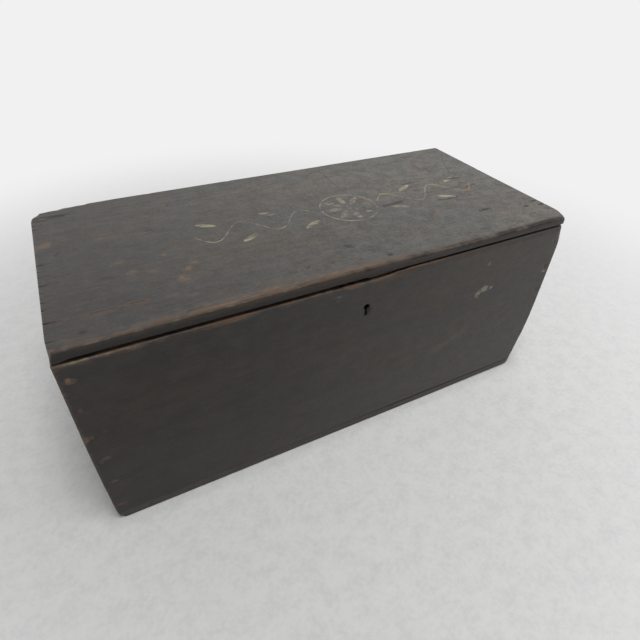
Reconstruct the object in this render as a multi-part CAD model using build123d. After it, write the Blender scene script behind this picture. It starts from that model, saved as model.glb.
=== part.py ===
from build123d import *
import os

os.makedirs("parts", exist_ok=True)

# A pine six-board chest with a hinged lid. Millimetres. The length runs along X, the front
# faces -Y, and the chest stands on Z = 0 with the origin under the middle of its case.

# Case boards
case_length = 657.0
case_depth = 296.0
case_height = 259.0
bottom_thickness = 13.0
front_thickness = 15.0
back_thickness = 15.0
end_thickness = 18.0

# Lid board
lid_thickness = 15.0
lid_left_inset = 1.0
lid_right_overhang = 1.0
lid_front_overhang = 0.5

# Worn arrises of the boards
case_arris = 2.0
front_top_arris = 3.0
lid_top_arris = 3.0
lid_under_arris = 3.0
lid_front_right_corner = 5.0
lid_back_right_corner = 7.0

# Knocked corners, as the reach along X, Y and Z from the corner
bottom_left_knock = (9.0, 14.0, 21.0)
bottom_right_knock = (15.0, 9.5, 95.0)
top_right_knock = (9.0, 6.0, 24.0)
lid_chip_along_x = 26.0
lid_chip_along_y = 17.0

# Cut nails
nail_shank = 2.6
nail_head_long = 5.6
nail_head_wide = 3.8
nail_head_thickness = 1.0
nail_tip = 5.0
nail_tip_taper = 12.0
nail_length = 38.0
nail_head_depth = 0.3
wall_nail_count = 6
wall_nail_from_bottom = 30.0
wall_nail_from_top = 19.0
long_bottom_nail_count = 6
long_bottom_nail_from_end = 42.0
end_bottom_nail_count = 3
end_bottom_nail_from_wall = 55.0

# Butt hinges
hinge_from_end = 112.0
hinge_length = 50.0
hinge_knuckle_count = 5
leaf_thickness = 1.5
leaf_width = 12.0
knuckle_radius = 3.4
hinge_pin_radius = 1.5
hinge_pin_clearance = 0.05
hinge_axis_proud = 0.4
hinge_gap = 0.3
leaf_clearance = 1.5

# Wood screws
leaf_screw_count = 3
screw_from_leaf_end = 7.0
screw_head_radius = 2.8
screw_head_depth = 1.4
screw_radius = 1.4
screw_length = 13.0
screw_slot_width = 0.8

# Keyhole
key_x = 5.0
key_below_case_top = 37.4
keyhole_radius = 3.75
keyhole_slot_width = 3.2
keyhole_slot_drop = 13.7

# Lock plate in the front board
plate_half_width = 38.0
plate_thickness = 2.0
plate_foot_below_key = 18.6
selvedge_thickness = 2.0
selvedge_front_wood = 3.5
mortise_half_width = 33.0
mortise_depth = 10.0
mortise_below_key = 15.6

# Bolt, measured along X from the keyhole
bolt_centre_depth = 5.0
bolt_thickness = 3.0
bolt_clearance = 0.3
bolt_travel = 8.0
bolt_tail = -31.5
bolt_shoulder = 3.5
bolt_head_end = 16.5
bolt_top_below_case = 6.0
bolt_body_height = 20.0
bolt_head_height = 7.0
talon_left = -7.5
talon_right = -0.5
talon_depth = 4.0

# Guides, pin and ward of the lock
stump_x = -18.0
stump_radius = 1.9
stump_button_radius = 3.4
stump_button_thickness = 1.0
bridle_left = 12.0
bridle_width = 3.5
bridle_wall = 1.5
key_pin_radius = 1.6
key_pin_length = 9.0
ward_radius = 8.0
ward_thickness = 1.0
ward_height = 3.0
ward_mouth = 8.0
lock_nail_from_edge = 2.5
lock_nail_low = 6.0
lock_nail_high = 9.0
lock_nail_head_radius = 1.8
lock_nail_head_thickness = 0.8
lock_nail_radius = 0.9
lock_nail_length = 9.0

# Flat spring on the bolt
spring_thickness = 0.8
spring_left = -28.0
spring_foot = 6.0
spring_right = -8.0

# Staple under the lid
staple_width = 5.0
staple_head_gap = 1.0
staple_leg = 1.6
staple_window_half = 2.2
staple_window_clearance = 1.0
staple_bar = 2.0
staple_slot_play = 1.0
staple_plate_length = 40.0
staple_plate_width = 12.0
staple_plate_thickness = 1.5
staple_screw_spacing = 28.0

# How far a cutting tool runs past the surface it leaves by
cut_margin = 1.0

# Places that follow from the sizes
left = -case_length / 2
right = case_length / 2
front = -case_depth / 2
back = case_depth / 2
front_inner = front + front_thickness
back_inner = back - back_thickness
lid_leaf_bottom = case_height + leaf_clearance
lid_bottom = lid_leaf_bottom + leaf_thickness
lid_top = lid_bottom + lid_thickness
lid_left = left + lid_left_inset
lid_right = right + lid_right_overhang
lid_front = front - lid_front_overhang
hinge_y = back + hinge_axis_proud
hinge_z = case_height + leaf_clearance / 2
hinge_centres = [left + hinge_from_end, right - hinge_from_end]
key_z = case_height - key_below_case_top
mortise_front = front_inner - mortise_depth
bolt_y = front_inner - bolt_centre_depth
bolt_top = case_height - bolt_top_below_case
bolt_bottom = bolt_top - bolt_body_height
bolt_head_bottom = bolt_top - bolt_head_height
selvedge_bottom = case_height - selvedge_thickness
staple_x = key_x + bolt_head_end + staple_head_gap + staple_width / 2
staple_window_top = bolt_top + staple_window_clearance
staple_window_bottom = bolt_head_bottom - staple_window_clearance
staple_bottom = staple_window_bottom - staple_bar
staple_half_depth = staple_window_half + staple_leg
staple_plate_bottom = lid_bottom - staple_plate_thickness


def block(x, y, z):
    """A rectangular solid between two limits along each axis."""
    size = Box(x[1] - x[0], y[1] - y[0], z[1] - z[0])
    return Pos((x[0] + x[1]) / 2, (y[0] + y[1]) / 2, (z[0] + z[1]) / 2) * size


def rod(start, direction, radius, length):
    """A round bar that starts at a point and runs along a direction."""
    plane = Plane(origin=start, z_dir=direction)
    return extrude(plane * Circle(radius), length)


def round_edge(part, point, radius):
    """Rounds the straight edge that passes through a point."""
    edge = part.edges().sort_by_distance(Vector(*point))[0]
    return fillet(edge, radius)


def knock_corner(part, corner, inward, reach):
    """Cuts a corner off along the plane through the points reached on its three edges."""
    origin = Vector(*corner)
    ends = [
        origin + Vector(inward[0] * reach[0], 0, 0),
        origin + Vector(0, inward[1] * reach[1], 0),
        origin + Vector(0, 0, inward[2] * reach[2]),
    ]
    normal = (ends[1] - ends[0]).cross(ends[2] - ends[0])
    if normal.dot(origin - ends[0]) < 0:
        normal = normal * -1
    return split(part, bisect_by=Plane(origin=ends[0], z_dir=normal), keep=Keep.BOTTOM)


def spread(low, high, count):
    """Evenly spaced places from the first to the last."""
    return [low + (high - low) * i / (count - 1) for i in range(count)]


# Fasteners. Each is made at the origin, with its head at z = 0 and its point up the Z axis.


def cut_nail(head_depth):
    """A square cut nail, set below the surface by the given depth."""
    head_top = head_depth + nail_head_thickness
    head = block(
        (-nail_head_wide / 2, nail_head_wide / 2),
        (-nail_head_long / 2, nail_head_long / 2),
        (head_depth, head_top),
    )
    shank_end = head_depth + nail_length - nail_tip
    half = nail_shank / 2
    shank = block((-half, half), (-half, half), (head_top, shank_end))
    tip_base = Pos(0, 0, shank_end) * Rectangle(nail_shank, nail_shank)
    tip = extrude(tip_base, nail_tip, taper=nail_tip_taper)
    return head + shank + tip


def nail_hole():
    """What a nail and the dent over its head take out of the boards."""
    dent = block(
        (-nail_head_wide / 2, nail_head_wide / 2),
        (-nail_head_long / 2, nail_head_long / 2),
        (-nail_head_depth, nail_head_depth),
    )
    return cut_nail(nail_head_depth) + dent


def wood_screw():
    """A countersunk screw with its head flush."""
    cone = Cone(screw_head_radius, screw_radius, screw_head_depth)
    head = Pos(0, 0, screw_head_depth / 2) * cone
    shank_length = screw_length - screw_head_depth
    shank = rod((0, 0, screw_head_depth), (0, 0, 1), screw_radius, shank_length)
    return head + shank


def slotted(screw):
    """The screw with a driver slot cut in its head."""
    slot = block(
        (-screw_head_radius, screw_head_radius),
        (-screw_slot_width / 2, screw_slot_width / 2),
        (-cut_margin, screw_head_depth / 2),
    )
    return screw - slot


def lock_nail():
    """A small round nail with a flat head."""
    head = rod((0, 0, 0), (0, 0, 1), lock_nail_head_radius, lock_nail_head_thickness)
    shank = rod((0, 0, 0), (0, 0, 1), lock_nail_radius, lock_nail_length)
    return head + shank


def placed(shape, places):
    """Copies of a shape at a list of places."""
    return [place * shape for place in places]


def cut_all(part, tools):
    """The part with each tool taken out of it."""
    for tool in tools:
        part = part - tool
    return part


def wall_nail_places(y, turn):
    """Places of the nails that hold a long wall to both end boards."""
    xs = [left + end_thickness / 2, right - end_thickness / 2]
    zs = spread(wall_nail_from_bottom, case_height - wall_nail_from_top, wall_nail_count)
    return [Pos(x, y, z) * Rot(X=turn) for x in xs for z in zs]


def bottom_nail_places():
    """Places of the nails that hold the bottom board to the four walls."""
    places = []
    first_x = left + long_bottom_nail_from_end
    last_x = right - long_bottom_nail_from_end
    for y in (front + front_thickness / 2, back - back_thickness / 2):
        long_xs = spread(first_x, last_x, long_bottom_nail_count)
        places += [Pos(x, y, 0) * Rot(Z=90) for x in long_xs]
    first_y = front + end_bottom_nail_from_wall
    last_y = back - end_bottom_nail_from_wall
    end_ys = spread(first_y, last_y, end_bottom_nail_count)
    for x in (left + end_thickness / 2, right - end_thickness / 2):
        places += [Pos(x, y, 0) for y in end_ys]
    return places


front_nail_places = wall_nail_places(front, -90)
back_nail_places = wall_nail_places(back, 90)
bottom_places = bottom_nail_places()


def leaf_screw_places(z, turn):
    """Places of the screws through the hinge leaves on one board."""
    y = back - leaf_width / 2
    reach = hinge_length / 2 - screw_from_leaf_end
    places = []
    for centre in hinge_centres:
        xs = spread(centre - reach, centre + reach, leaf_screw_count)
        places += [Pos(x, y, z) * Rot(X=turn) for x in xs]
    return places


case_screw_places = leaf_screw_places(case_height, 180)
lid_screw_places = leaf_screw_places(lid_leaf_bottom, 0)
staple_screw_places = [
    Pos(staple_x + side * staple_screw_spacing / 2, bolt_y, staple_plate_bottom) for side in (-1, 1)
]
lock_nail_zs = (key_z - plate_foot_below_key + lock_nail_low, case_height - lock_nail_high)
lock_nail_reach = plate_half_width - lock_nail_from_edge
lock_nail_places = [
    Pos(key_x + side * lock_nail_reach, front_inner + plate_thickness, z) * Rot(X=90)
    for side in (-1, 1)
    for z in lock_nail_zs
]


# Hinges


def knuckle_span(centre, index):
    """Limits along X of one knuckle, with its share of the running gap."""
    pitch = hinge_length / hinge_knuckle_count
    start = centre - hinge_length / 2 + index * pitch
    return (start + hinge_gap / 2, start + pitch - hinge_gap / 2)


def hinge_leaf(centre, plate_z, parity):
    """One leaf with every second knuckle, cut clear of the other leaf's knuckles."""
    half = hinge_length / 2
    leaf = block((centre - half, centre + half), (back - leaf_width, hinge_y), plate_z)
    for index in range(hinge_knuckle_count):
        start, end = knuckle_span(centre, index)
        if index % 2 == parity:
            leaf = leaf + rod((start, hinge_y, hinge_z), (1, 0, 0), knuckle_radius, end - start)
        else:
            clear = rod(
                (start - hinge_gap, hinge_y, hinge_z), (1, 0, 0),
                knuckle_radius + hinge_gap, end - start + 2 * hinge_gap,
            )
            leaf = leaf - clear
    bore = rod(
        (centre - half, hinge_y, hinge_z), (1, 0, 0),
        hinge_pin_radius + hinge_pin_clearance, hinge_length,
    )
    return leaf - bore


case_leaf_z = (case_height - leaf_thickness, case_height)
lid_leaf_z = (lid_leaf_bottom, lid_bottom)


def knuckle_room(centre):
    """Room for a hinge's knuckles in the corner of a board."""
    start = (centre - hinge_length / 2, hinge_y, hinge_z)
    return rod(start, (1, 0, 0), knuckle_radius + hinge_gap, hinge_length)


def hinge_gain(centre):
    """The seat of a case leaf, let in flush, with the room for the knuckles."""
    half = hinge_length / 2
    along_y = (back - leaf_width, back + cut_margin)
    return block((centre - half, centre + half), along_y, case_leaf_z) + knuckle_room(centre)


# Case


def keyhole_cut():
    """The keyhole's outline, run through the wood in front of the mortise."""
    head = Pos(key_x, key_z) * Circle(keyhole_radius)
    slot_middle = key_z - keyhole_slot_drop / 2
    slot = Pos(key_x, slot_middle) * Rectangle(keyhole_slot_width, keyhole_slot_drop)
    outline = Plane.XZ.offset(-mortise_front) * (head + slot)
    return extrude(outline, mortise_front - front + cut_margin)


def plate_limits():
    """Limits along X of the lock plate."""
    return (key_x - plate_half_width, key_x + plate_half_width)


def make_front_board():
    board = block((left, right), (front, front_inner), (bottom_thickness, case_height))
    middle_z = (bottom_thickness + case_height) / 2
    board = round_edge(board, (0, front, case_height), front_top_arris)
    board = round_edge(board, (left, front, middle_z), case_arris)
    board = round_edge(board, (right, front, middle_z), case_arris)
    board = knock_corner(board, (left, front, 0), (1, 1, 1), bottom_left_knock)
    board = knock_corner(board, (right, front, 0), (-1, 1, 1), bottom_right_knock)
    board = knock_corner(board, (right, front, case_height), (-1, 1, -1), top_right_knock)
    mortise = block(
        (key_x - mortise_half_width, key_x + mortise_half_width),
        (mortise_front, front_inner),
        (key_z - mortise_below_key, case_height),
    )
    selvedge_seat = block(
        plate_limits(), (front + selvedge_front_wood, front_inner), (selvedge_bottom, case_height)
    )
    board = board - mortise - selvedge_seat - keyhole_cut()
    board = cut_all(board, placed(lock_nail(), lock_nail_places))
    board = cut_all(board, placed(nail_hole(), front_nail_places))
    return cut_all(board, placed(nail_hole(), bottom_places))


def make_back_board():
    board = block((left, right), (back_inner, back), (bottom_thickness, case_height))
    middle_z = (bottom_thickness + case_height) / 2
    board = round_edge(board, (left, back, middle_z), case_arris)
    board = round_edge(board, (right, back, middle_z), case_arris)
    board = cut_all(board, [hinge_gain(x) for x in hinge_centres])
    board = cut_all(board, placed(wood_screw(), case_screw_places))
    board = cut_all(board, placed(nail_hole(), back_nail_places))
    return cut_all(board, placed(nail_hole(), bottom_places))


def make_end_board(x_limits):
    board = block(x_limits, (front_inner, back_inner), (bottom_thickness, case_height))
    return cut_all(board, placed(nail_hole(), front_nail_places + back_nail_places + bottom_places))


def make_bottom_board():
    board = block((left, right), (front, back), (0, bottom_thickness))
    for x in (left, right):
        for y in (front, back):
            board = round_edge(board, (x, y, bottom_thickness / 2), case_arris)
    board = knock_corner(board, (left, front, 0), (1, 1, 1), bottom_left_knock)
    board = knock_corner(board, (right, front, 0), (-1, 1, 1), bottom_right_knock)
    return cut_all(board, placed(nail_hole(), bottom_places))


# Lid


def make_lid_board():
    board = block((lid_left, lid_right), (lid_front, back), (lid_bottom, lid_top))
    middle_z = (lid_bottom + lid_top) / 2
    board = round_edge(board, (lid_right, lid_front, middle_z), lid_front_right_corner)
    board = round_edge(board, (lid_right, back, middle_z), lid_back_right_corner)
    board = round_edge(board, (lid_left, lid_front, middle_z), case_arris)
    chip = [
        (lid_left, back),
        (lid_left, back - lid_chip_along_y),
        (lid_left + lid_chip_along_x, back),
    ]
    chip_face = make_face(Polyline(*chip, close=True))
    board = board - extrude(Pos(0, 0, lid_bottom) * chip_face, lid_thickness)
    board = round_edge(board, (0, lid_front, lid_top), lid_top_arris)
    board = round_edge(board, (0, lid_front, lid_bottom), lid_under_arris)
    board = cut_all(board, [knuckle_room(x) for x in hinge_centres])
    return cut_all(board, placed(wood_screw(), lid_screw_places + staple_screw_places))


def make_lid_staple():
    """A loop that hangs from a plate on the lid's underside."""
    plate_half = staple_plate_length / 2
    plate = block(
        (staple_x - plate_half, staple_x + plate_half),
        (bolt_y - staple_plate_width / 2, bolt_y + staple_plate_width / 2),
        (staple_plate_bottom, lid_bottom),
    )
    half = staple_width / 2
    across = (staple_x - half, staple_x + half)
    depth = (bolt_y - staple_half_depth, bolt_y + staple_half_depth)
    loop = block(across, depth, (staple_bottom, staple_plate_bottom))
    window = block(
        across,
        (bolt_y - staple_window_half, bolt_y + staple_window_half),
        (staple_window_bottom, staple_window_top),
    )
    staple = plate + (loop - window)
    return cut_all(staple, placed(wood_screw(), staple_screw_places))


# Lock


def make_lock_plate():
    foot = key_z - plate_foot_below_key
    plate = block(plate_limits(), (front_inner, front_inner + plate_thickness), (foot, case_height))
    selvedge = block(
        plate_limits(), (front + selvedge_front_wood, front_inner), (selvedge_bottom, case_height)
    )
    slot_half = staple_half_depth + staple_slot_play
    play = staple_slot_play / 2
    slot = block(
        (staple_x - staple_width / 2 - play, staple_x + staple_width / 2 + play),
        (bolt_y - slot_half, bolt_y + slot_half),
        (selvedge_bottom, case_height),
    )
    plate = plate + selvedge - slot
    return cut_all(plate, placed(lock_nail(), lock_nail_places))


def make_lock_bolt():
    half = bolt_thickness / 2
    depth = (bolt_y - half, bolt_y + half)
    body = block((key_x + bolt_tail, key_x + bolt_shoulder), depth, (bolt_bottom, bolt_top))
    head = block((key_x + bolt_shoulder, key_x + bolt_head_end), depth, (bolt_head_bottom, bolt_top))
    talon_x = (key_x + talon_left, key_x + talon_right)
    talon = block(talon_x, depth, (bolt_bottom, bolt_bottom + talon_depth))
    slot_z = (bolt_top + bolt_bottom) / 2
    reach = stump_radius + bolt_clearance
    slot = block(
        (key_x + stump_x - reach - bolt_travel, key_x + stump_x + reach),
        depth,
        (slot_z - reach, slot_z + reach),
    )
    return body + head - talon - slot


def make_lock_spring():
    """A bent strip whose foot sits on the bolt and whose tip stops short of the selvedge."""
    tip = selvedge_bottom - bolt_clearance
    outline = [
        (key_x + spring_left, bolt_top),
        (key_x + spring_left + spring_foot, bolt_top),
        (key_x + spring_right, tip - spring_thickness),
        (key_x + spring_right, tip),
        (key_x + spring_left + spring_foot, bolt_top + spring_thickness),
        (key_x + spring_left, bolt_top + spring_thickness),
    ]
    face = make_face(Polyline(*outline, close=True))
    half = bolt_thickness / 2
    return extrude(Plane.XZ.offset(-(bolt_y + half)) * face, bolt_thickness)


def make_lock_bridle():
    """A closed loop on the plate that the bolt's head runs through."""
    half = bolt_thickness / 2 + bolt_clearance
    along = (key_x + bridle_left, key_x + bridle_left + bridle_width)
    low = bolt_head_bottom - bolt_clearance
    high = bolt_top + bolt_clearance
    outside_y = (bolt_y - half - bridle_wall, front_inner)
    outside = block(along, outside_y, (low - bridle_wall, high + bridle_wall))
    inside = block(along, (bolt_y - half, bolt_y + half), (low, high))
    return outside - inside


def make_lock_stump():
    """A headed pin on the plate that runs in the bolt's slot."""
    z = (bolt_top + bolt_bottom) / 2
    button_start = bolt_y - bolt_thickness / 2 - bolt_clearance
    pin = rod((key_x + stump_x, front_inner, z), (0, -1, 0), stump_radius, front_inner - button_start)
    button = rod(
        (key_x + stump_x, button_start, z), (0, -1, 0), stump_button_radius, stump_button_thickness
    )
    return pin + button


def make_key_pin():
    return rod((key_x, front_inner, key_z), (0, -1, 0), key_pin_radius, key_pin_length)


def make_ward():
    """A bent strip round the key pin, open below for the key."""
    outer = rod((key_x, front_inner, key_z), (0, -1, 0), ward_radius + ward_thickness / 2, ward_height)
    inner = rod((key_x, front_inner, key_z), (0, -1, 0), ward_radius - ward_thickness / 2, ward_height)
    mouth = block(
        (key_x - ward_mouth / 2, key_x + ward_mouth / 2),
        (front_inner - ward_height, front_inner),
        (key_z - ward_radius - ward_thickness, key_z),
    )
    return outer - inner - mouth


def group(shapes):
    """Separate solids that share one node."""
    return Compound(children=[shape.solid() for shape in shapes])


nodes = {
    "front_board": make_front_board(),
    "back_board": make_back_board(),
    "left_end_board": make_end_board((left, left + end_thickness)),
    "right_end_board": make_end_board((right - end_thickness, right)),
    "bottom_board": make_bottom_board(),
    "front_nails": group(placed(cut_nail(nail_head_depth), front_nail_places)),
    "back_nails": group(placed(cut_nail(nail_head_depth), back_nail_places)),
    "bottom_nails": group(placed(cut_nail(nail_head_depth), bottom_places)),
    "lid_board": make_lid_board(),
    "case_hinge_screws": group(placed(slotted(wood_screw()), case_screw_places)),
    "lid_hinge_screws": group(placed(slotted(wood_screw()), lid_screw_places)),
    "lock_plate": make_lock_plate(),
    "lock_bridle": make_lock_bridle(),
    "lock_stump": make_lock_stump(),
    "lock_key_pin": make_key_pin(),
    "lock_ward": make_ward(),
    "lock_nails": group(placed(lock_nail(), lock_nail_places)),
    "lock_bolt": make_lock_bolt(),
    "lock_spring": make_lock_spring(),
    "lid_staple": make_lid_staple(),
    "staple_screws": group(placed(slotted(wood_screw()), staple_screw_places)),
}

for side, centre in zip(("left", "right"), hinge_centres):
    case_leaf = hinge_leaf(centre, case_leaf_z, 0)
    lid_leaf = hinge_leaf(centre, lid_leaf_z, 1)
    pin_start = (centre - hinge_length / 2, hinge_y, hinge_z)
    nodes[side + "_hinge_case_leaf"] = cut_all(case_leaf, placed(wood_screw(), case_screw_places))
    nodes[side + "_hinge_lid_leaf"] = cut_all(lid_leaf, placed(wood_screw(), lid_screw_places))
    nodes[side + "_hinge_pin"] = rod(pin_start, (1, 0, 0), hinge_pin_radius, hinge_length)

for name, shape in nodes.items():
    export_step(shape, "parts/" + name + ".step")
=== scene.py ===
import itertools
import math
from types import SimpleNamespace

import bmesh
import bpy
import numpy as np
from mathutils import Matrix, Vector


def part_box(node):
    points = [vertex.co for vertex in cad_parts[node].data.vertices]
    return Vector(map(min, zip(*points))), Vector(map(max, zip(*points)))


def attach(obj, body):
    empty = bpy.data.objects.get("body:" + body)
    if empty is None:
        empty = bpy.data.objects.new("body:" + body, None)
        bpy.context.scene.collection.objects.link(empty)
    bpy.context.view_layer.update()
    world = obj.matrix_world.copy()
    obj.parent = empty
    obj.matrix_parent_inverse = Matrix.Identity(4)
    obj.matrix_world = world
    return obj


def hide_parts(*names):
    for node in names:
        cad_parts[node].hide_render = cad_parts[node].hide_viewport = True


# The looks of a small painted pine chest. Everything is in metres, in the frame of the packed
# model: the length runs along X, the front faces -Y, and the chest stands on Z = 0.
# Boards are closed grids of points that are worn in numpy, then painted by their materials.
# Each board numbers its noises from a hundred of its own, so that no two wear alike.

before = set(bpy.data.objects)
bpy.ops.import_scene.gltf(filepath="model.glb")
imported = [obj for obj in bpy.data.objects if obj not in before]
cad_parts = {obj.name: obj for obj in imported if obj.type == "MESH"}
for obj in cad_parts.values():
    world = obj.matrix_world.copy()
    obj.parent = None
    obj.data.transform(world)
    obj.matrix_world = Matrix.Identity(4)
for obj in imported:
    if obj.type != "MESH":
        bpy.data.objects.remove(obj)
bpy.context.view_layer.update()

MM = 0.001
X, Y, Z = 0, 1, 2
LOW, HIGH = 0, 1

# Mesh spacing of the boards, and the angle from which an edge is shaded sharp
FINE_CELL = 3.0 * MM
COARSE_CELL = 6.0 * MM
EDGE_STEPS = np.array([0.0, 0.4, 0.9, 1.6, 2.6, 4.0]) * MM
LEAST_STEP = 0.12 * MM
SHARP_ANGLE = math.radians(48)

# The six faces of a board, as an axis and a side of it, and the arrises between them
FACES = {
    "left": (X, LOW),
    "right": (X, HIGH),
    "front": (Y, LOW),
    "back": (Y, HIGH),
    "under": (Z, LOW),
    "top": (Z, HIGH),
}
ARRISES = [f"{a} {b}" for a, b in itertools.combinations(FACES, 2) if FACES[a][0] != FACES[b][0]]

# Arrises of the boards: radius and depth of chips, in mm; for the rubbed ones also how much of
# the paint is gone and how far that reaches, in mm
PLAIN_ARRIS = (0.7, 0.3)
FRONT_ARRISES = {
    "left front": (1.8, 2.2, 0.85, 6), "right front": (2.0, 5.0, 0.75, 5),
    "left top": (1.5, 1.5, 0.8, 5), "right top": (2.0, 1.5, 0.8, 5),
    "front top": (1.5, 1.8), "front under": (0.6, 0.5), "back top": (1.0, 0.8),
}
BACK_ARRISES = {
    "back top": (1.2, 1.2, 0.6, 4), "front top": (1.0, 0.6),
    "left back": (1.8, 1.8, 0.8, 5), "right back": (1.8, 1.8, 0.8, 5),
    "left top": (*PLAIN_ARRIS, 0.7, 4), "right top": (*PLAIN_ARRIS, 0.7, 4),
}
BOTTOM_ARRISES = {
    "front under": (1.6, 1.8, 0.75, 5), "front top": (0.8, 0.6),
    **{f"{face} under": (1.6, 1.5, 0.75, 5) for face in ("back", "left", "right")},
    **dict.fromkeys(("left front", "right front", "left back", "right back"), (2.0, 1.5, 0.75, 5)),
}
LID_ARRISES = {
    "left top": (1.5, 2.0, 0.45, 5), "right top": (2.2, 3.5, 0.5, 5),
    "back top": (2.0, 3.0, 0.5, 5), "left front": (2.0, 1.0, 0.8, 6),
    "right front": (11.0, 1.0, 0.8, 7), "right back": (7.0, 1.0, 0.8, 7),
    "left under": (1.0, 1.0, 0.5, 3), "front top": (1.6, 2.0), "left back": (1.5, 1.0),
}

# How far hand planing left the faces uneven
PLANING = 0.35 * MM

# Lid board, thinner than the space it warps in
LID_THICKNESS = 14.2 * MM
LID_BOW = 0.8 * MM
LID_MIDDLE = 269 * MM

# Corners of the case that are knocked off: corner, way inwards and reach along X, Y and Z, in mm
KNOCKED_CORNERS = (
    ((-328.5, -148, 0), (1, 1, 1), (9, 14, 21)),
    ((-328.5, -148, 0), (1, 1, 1), (4.1, 15, 99)),
    ((328.5, -148, 0), (-1, 1, 1), (15, 9.5, 95)),
    ((328.5, -148, 0), (-1, 1, 1), (12, 8, 10)),
    ((328.5, -148, 259), (-1, 1, -1), (9, 6, 24)),
)
KNOCK_SOFTNESS = 1.1 * MM
KNOCK_ROUGHNESS = 0.4 * MM

# Corner of the lid that split off, as two lines over its top, in mm
SPLIT_CORNER = (((-327.5, 123), (-317, 139.5)), ((-317, 139.5), (-234, 148)))
SPLIT_LEAN = 0.22
SPLIT_SOFTNESS = 0.8 * MM
SPLIT_ROUGHNESS = 2.2 * MM

# Corners of the lid's front, rounded by use, as for the case
KNOCKED_LID_CORNERS = (
    ((-327.5, -148.5, 276.2), (1, 1, -1), (4.5, 14, 11)),
    ((329.5, -148.5, 276.2), (-1, 1, -1), (20, 20, 7)),
    ((329.5, -148.5, 262), (-1, 1, 1), (11, 11, 6)),
)

# Nails through the front and back into the ends, and the head of the bare one, in mm
NAIL_X = 319.5 * MM
NAIL_HEIGHTS = np.linspace(30, 240, 6) * MM
NAIL_HALF = (1.9 * MM, 2.8 * MM)
NAIL_LINES = np.array([-4.2, -2.2, -0.9, 0.9, 2.2, 4.2]) * MM
NAIL_DENT = 0.5 * MM
NAIL_SHY = 0.2 * MM
BARE_NAIL = (-319.5, -148, 240)

# Hinges: leaves to let in, their thickness and the room for their knuckles
HINGE_LEAVES = ("left_hinge_case_leaf", "right_hinge_case_leaf")
LEAF_THICKNESS = 1.52 * MM
KNUCKLE_ROOM = 3.7 * MM

# Keyhole, in mm: middle and radius of its head, half width and foot of its slot, and the
# rings of its cut, each a depth along Y and how much wider it is there
KEYHOLE_X = 5.0
KEYHOLE_Z = 221.6
KEYHOLE_HEAD = 3.75
KEYHOLE_HALF = 1.6
KEYHOLE_FOOT = 207.9
KEYHOLE_STEPS = 20
KEYHOLE_RINGS = ((-149.0, 1.6), (-147.9, 0.7), (-147.2, 0.15), (-146.4, 0.0), (-142.5, 0.0))

# Middle and half length of the line that the keyhole's dirt lies about, and the dented lobe beside
# it, painted near black as painted shade of an opening: place along and up, half length and half
# height, all in mm
KEYHOLE_LINE = (216.7, 5.0)
KEYHOLE_LOBE = (8.2, 215.5, 4.2, 7.0)

# Hollows for the lock and for its selvedge, as opposite corners in mm
MORTISE = ((-28, -143, 206), (38, -132, 264))
SELVEDGE_SEAT = ((-33, -144.5, 257), (43, -132, 264))

# Checks in the end grain of the lid, by its ends: place across, length and depth, in mm
END_CHECKS = {
    "left": (
        (122, 20, 1.7), (106, 11, 1.2), (93, 13, 1.3), (6, 25, 1.7), (-8, 9, 1.0),
        (-21, 12, 1.1), (-29, 8, 0.9), (-37, 15, 1.4), (-50, 12, 1.1), (-68, 14, 1.2),
        (-82, 10, 1.0), (-104, 24, 2.0), (-119, 10, 1.1), (-132, 15, 1.3),
    ),
    "right": ((-47, 4, 0.8), (-91, 8, 1.4), (-104, 9, 1.5)),
}
CHECK_LINES = np.array([-0.9, -0.45, 0.0, 0.45, 0.9]) * MM
CHECK_HALF = 0.9 * MM

# Dents in the lid: place along and across, half length, half width and depth, in mm
LID_DENTS = (
    (259, 25, 11, 6.5, 1.2), (232, -84, 14, 4.5, 0.7), (296, -100, 5.0, 4.5, 0.7),
    (41, -132, 7.0, 5.0, 0.8), (-296, -131, 6.0, 4.0, 0.5), (-301, 123, 26, 3.0, 1.3),
    (6, -96, 6, 4.5, 0.6), (-165, 98, 3.5, 2.0, 0.5), (-60, -118, 4.0, 2.5, 0.5),
)

# Spots where the lid's paint is rubbed through, and where it rusted: place along and across, and
# reach, in mm. Streaks are paths with their reach and strength.
LID_RUBS = (
    (-247, -22, 7), (-195, -24, 6), (-215, -52, 6), (-172, -52, 6), (-180, -64, 5),
    (-237, -49, 6), (-187, -82, 8), (-17, 6, 5), (-316, 50, 7),
)
LID_RUST = ((257, -22, 4.5), (168, -60, 5.0), (217, -104, 3.0), (253, -96, 3.0))
LID_STREAKS = (
    ((-270, 42, -205, 35), 4.0, 0.4), ((-165, 35, -40, 23), 3.0, 0.35),
    ((-290, -105, -236, -104), 6.0, 0.35), ((-212, -106, -186, -112), 5.0, 0.45),
    ((-325, 122, -286, 118), 5.0, 0.2), ((109, -18, 136, -19), 4.0, 0.3),
    ((-312, 20, -278, 17), 3.5, 0.35), ((120, 8, 148, 6), 6.0, 0.22),
    ((250, -16, 280, -11), 3.5, 0.5), ((240, -94, 262, -97), 4.0, 0.5),
    ((214, 60, 250, 112), 6.0, 0.35),
)

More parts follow.
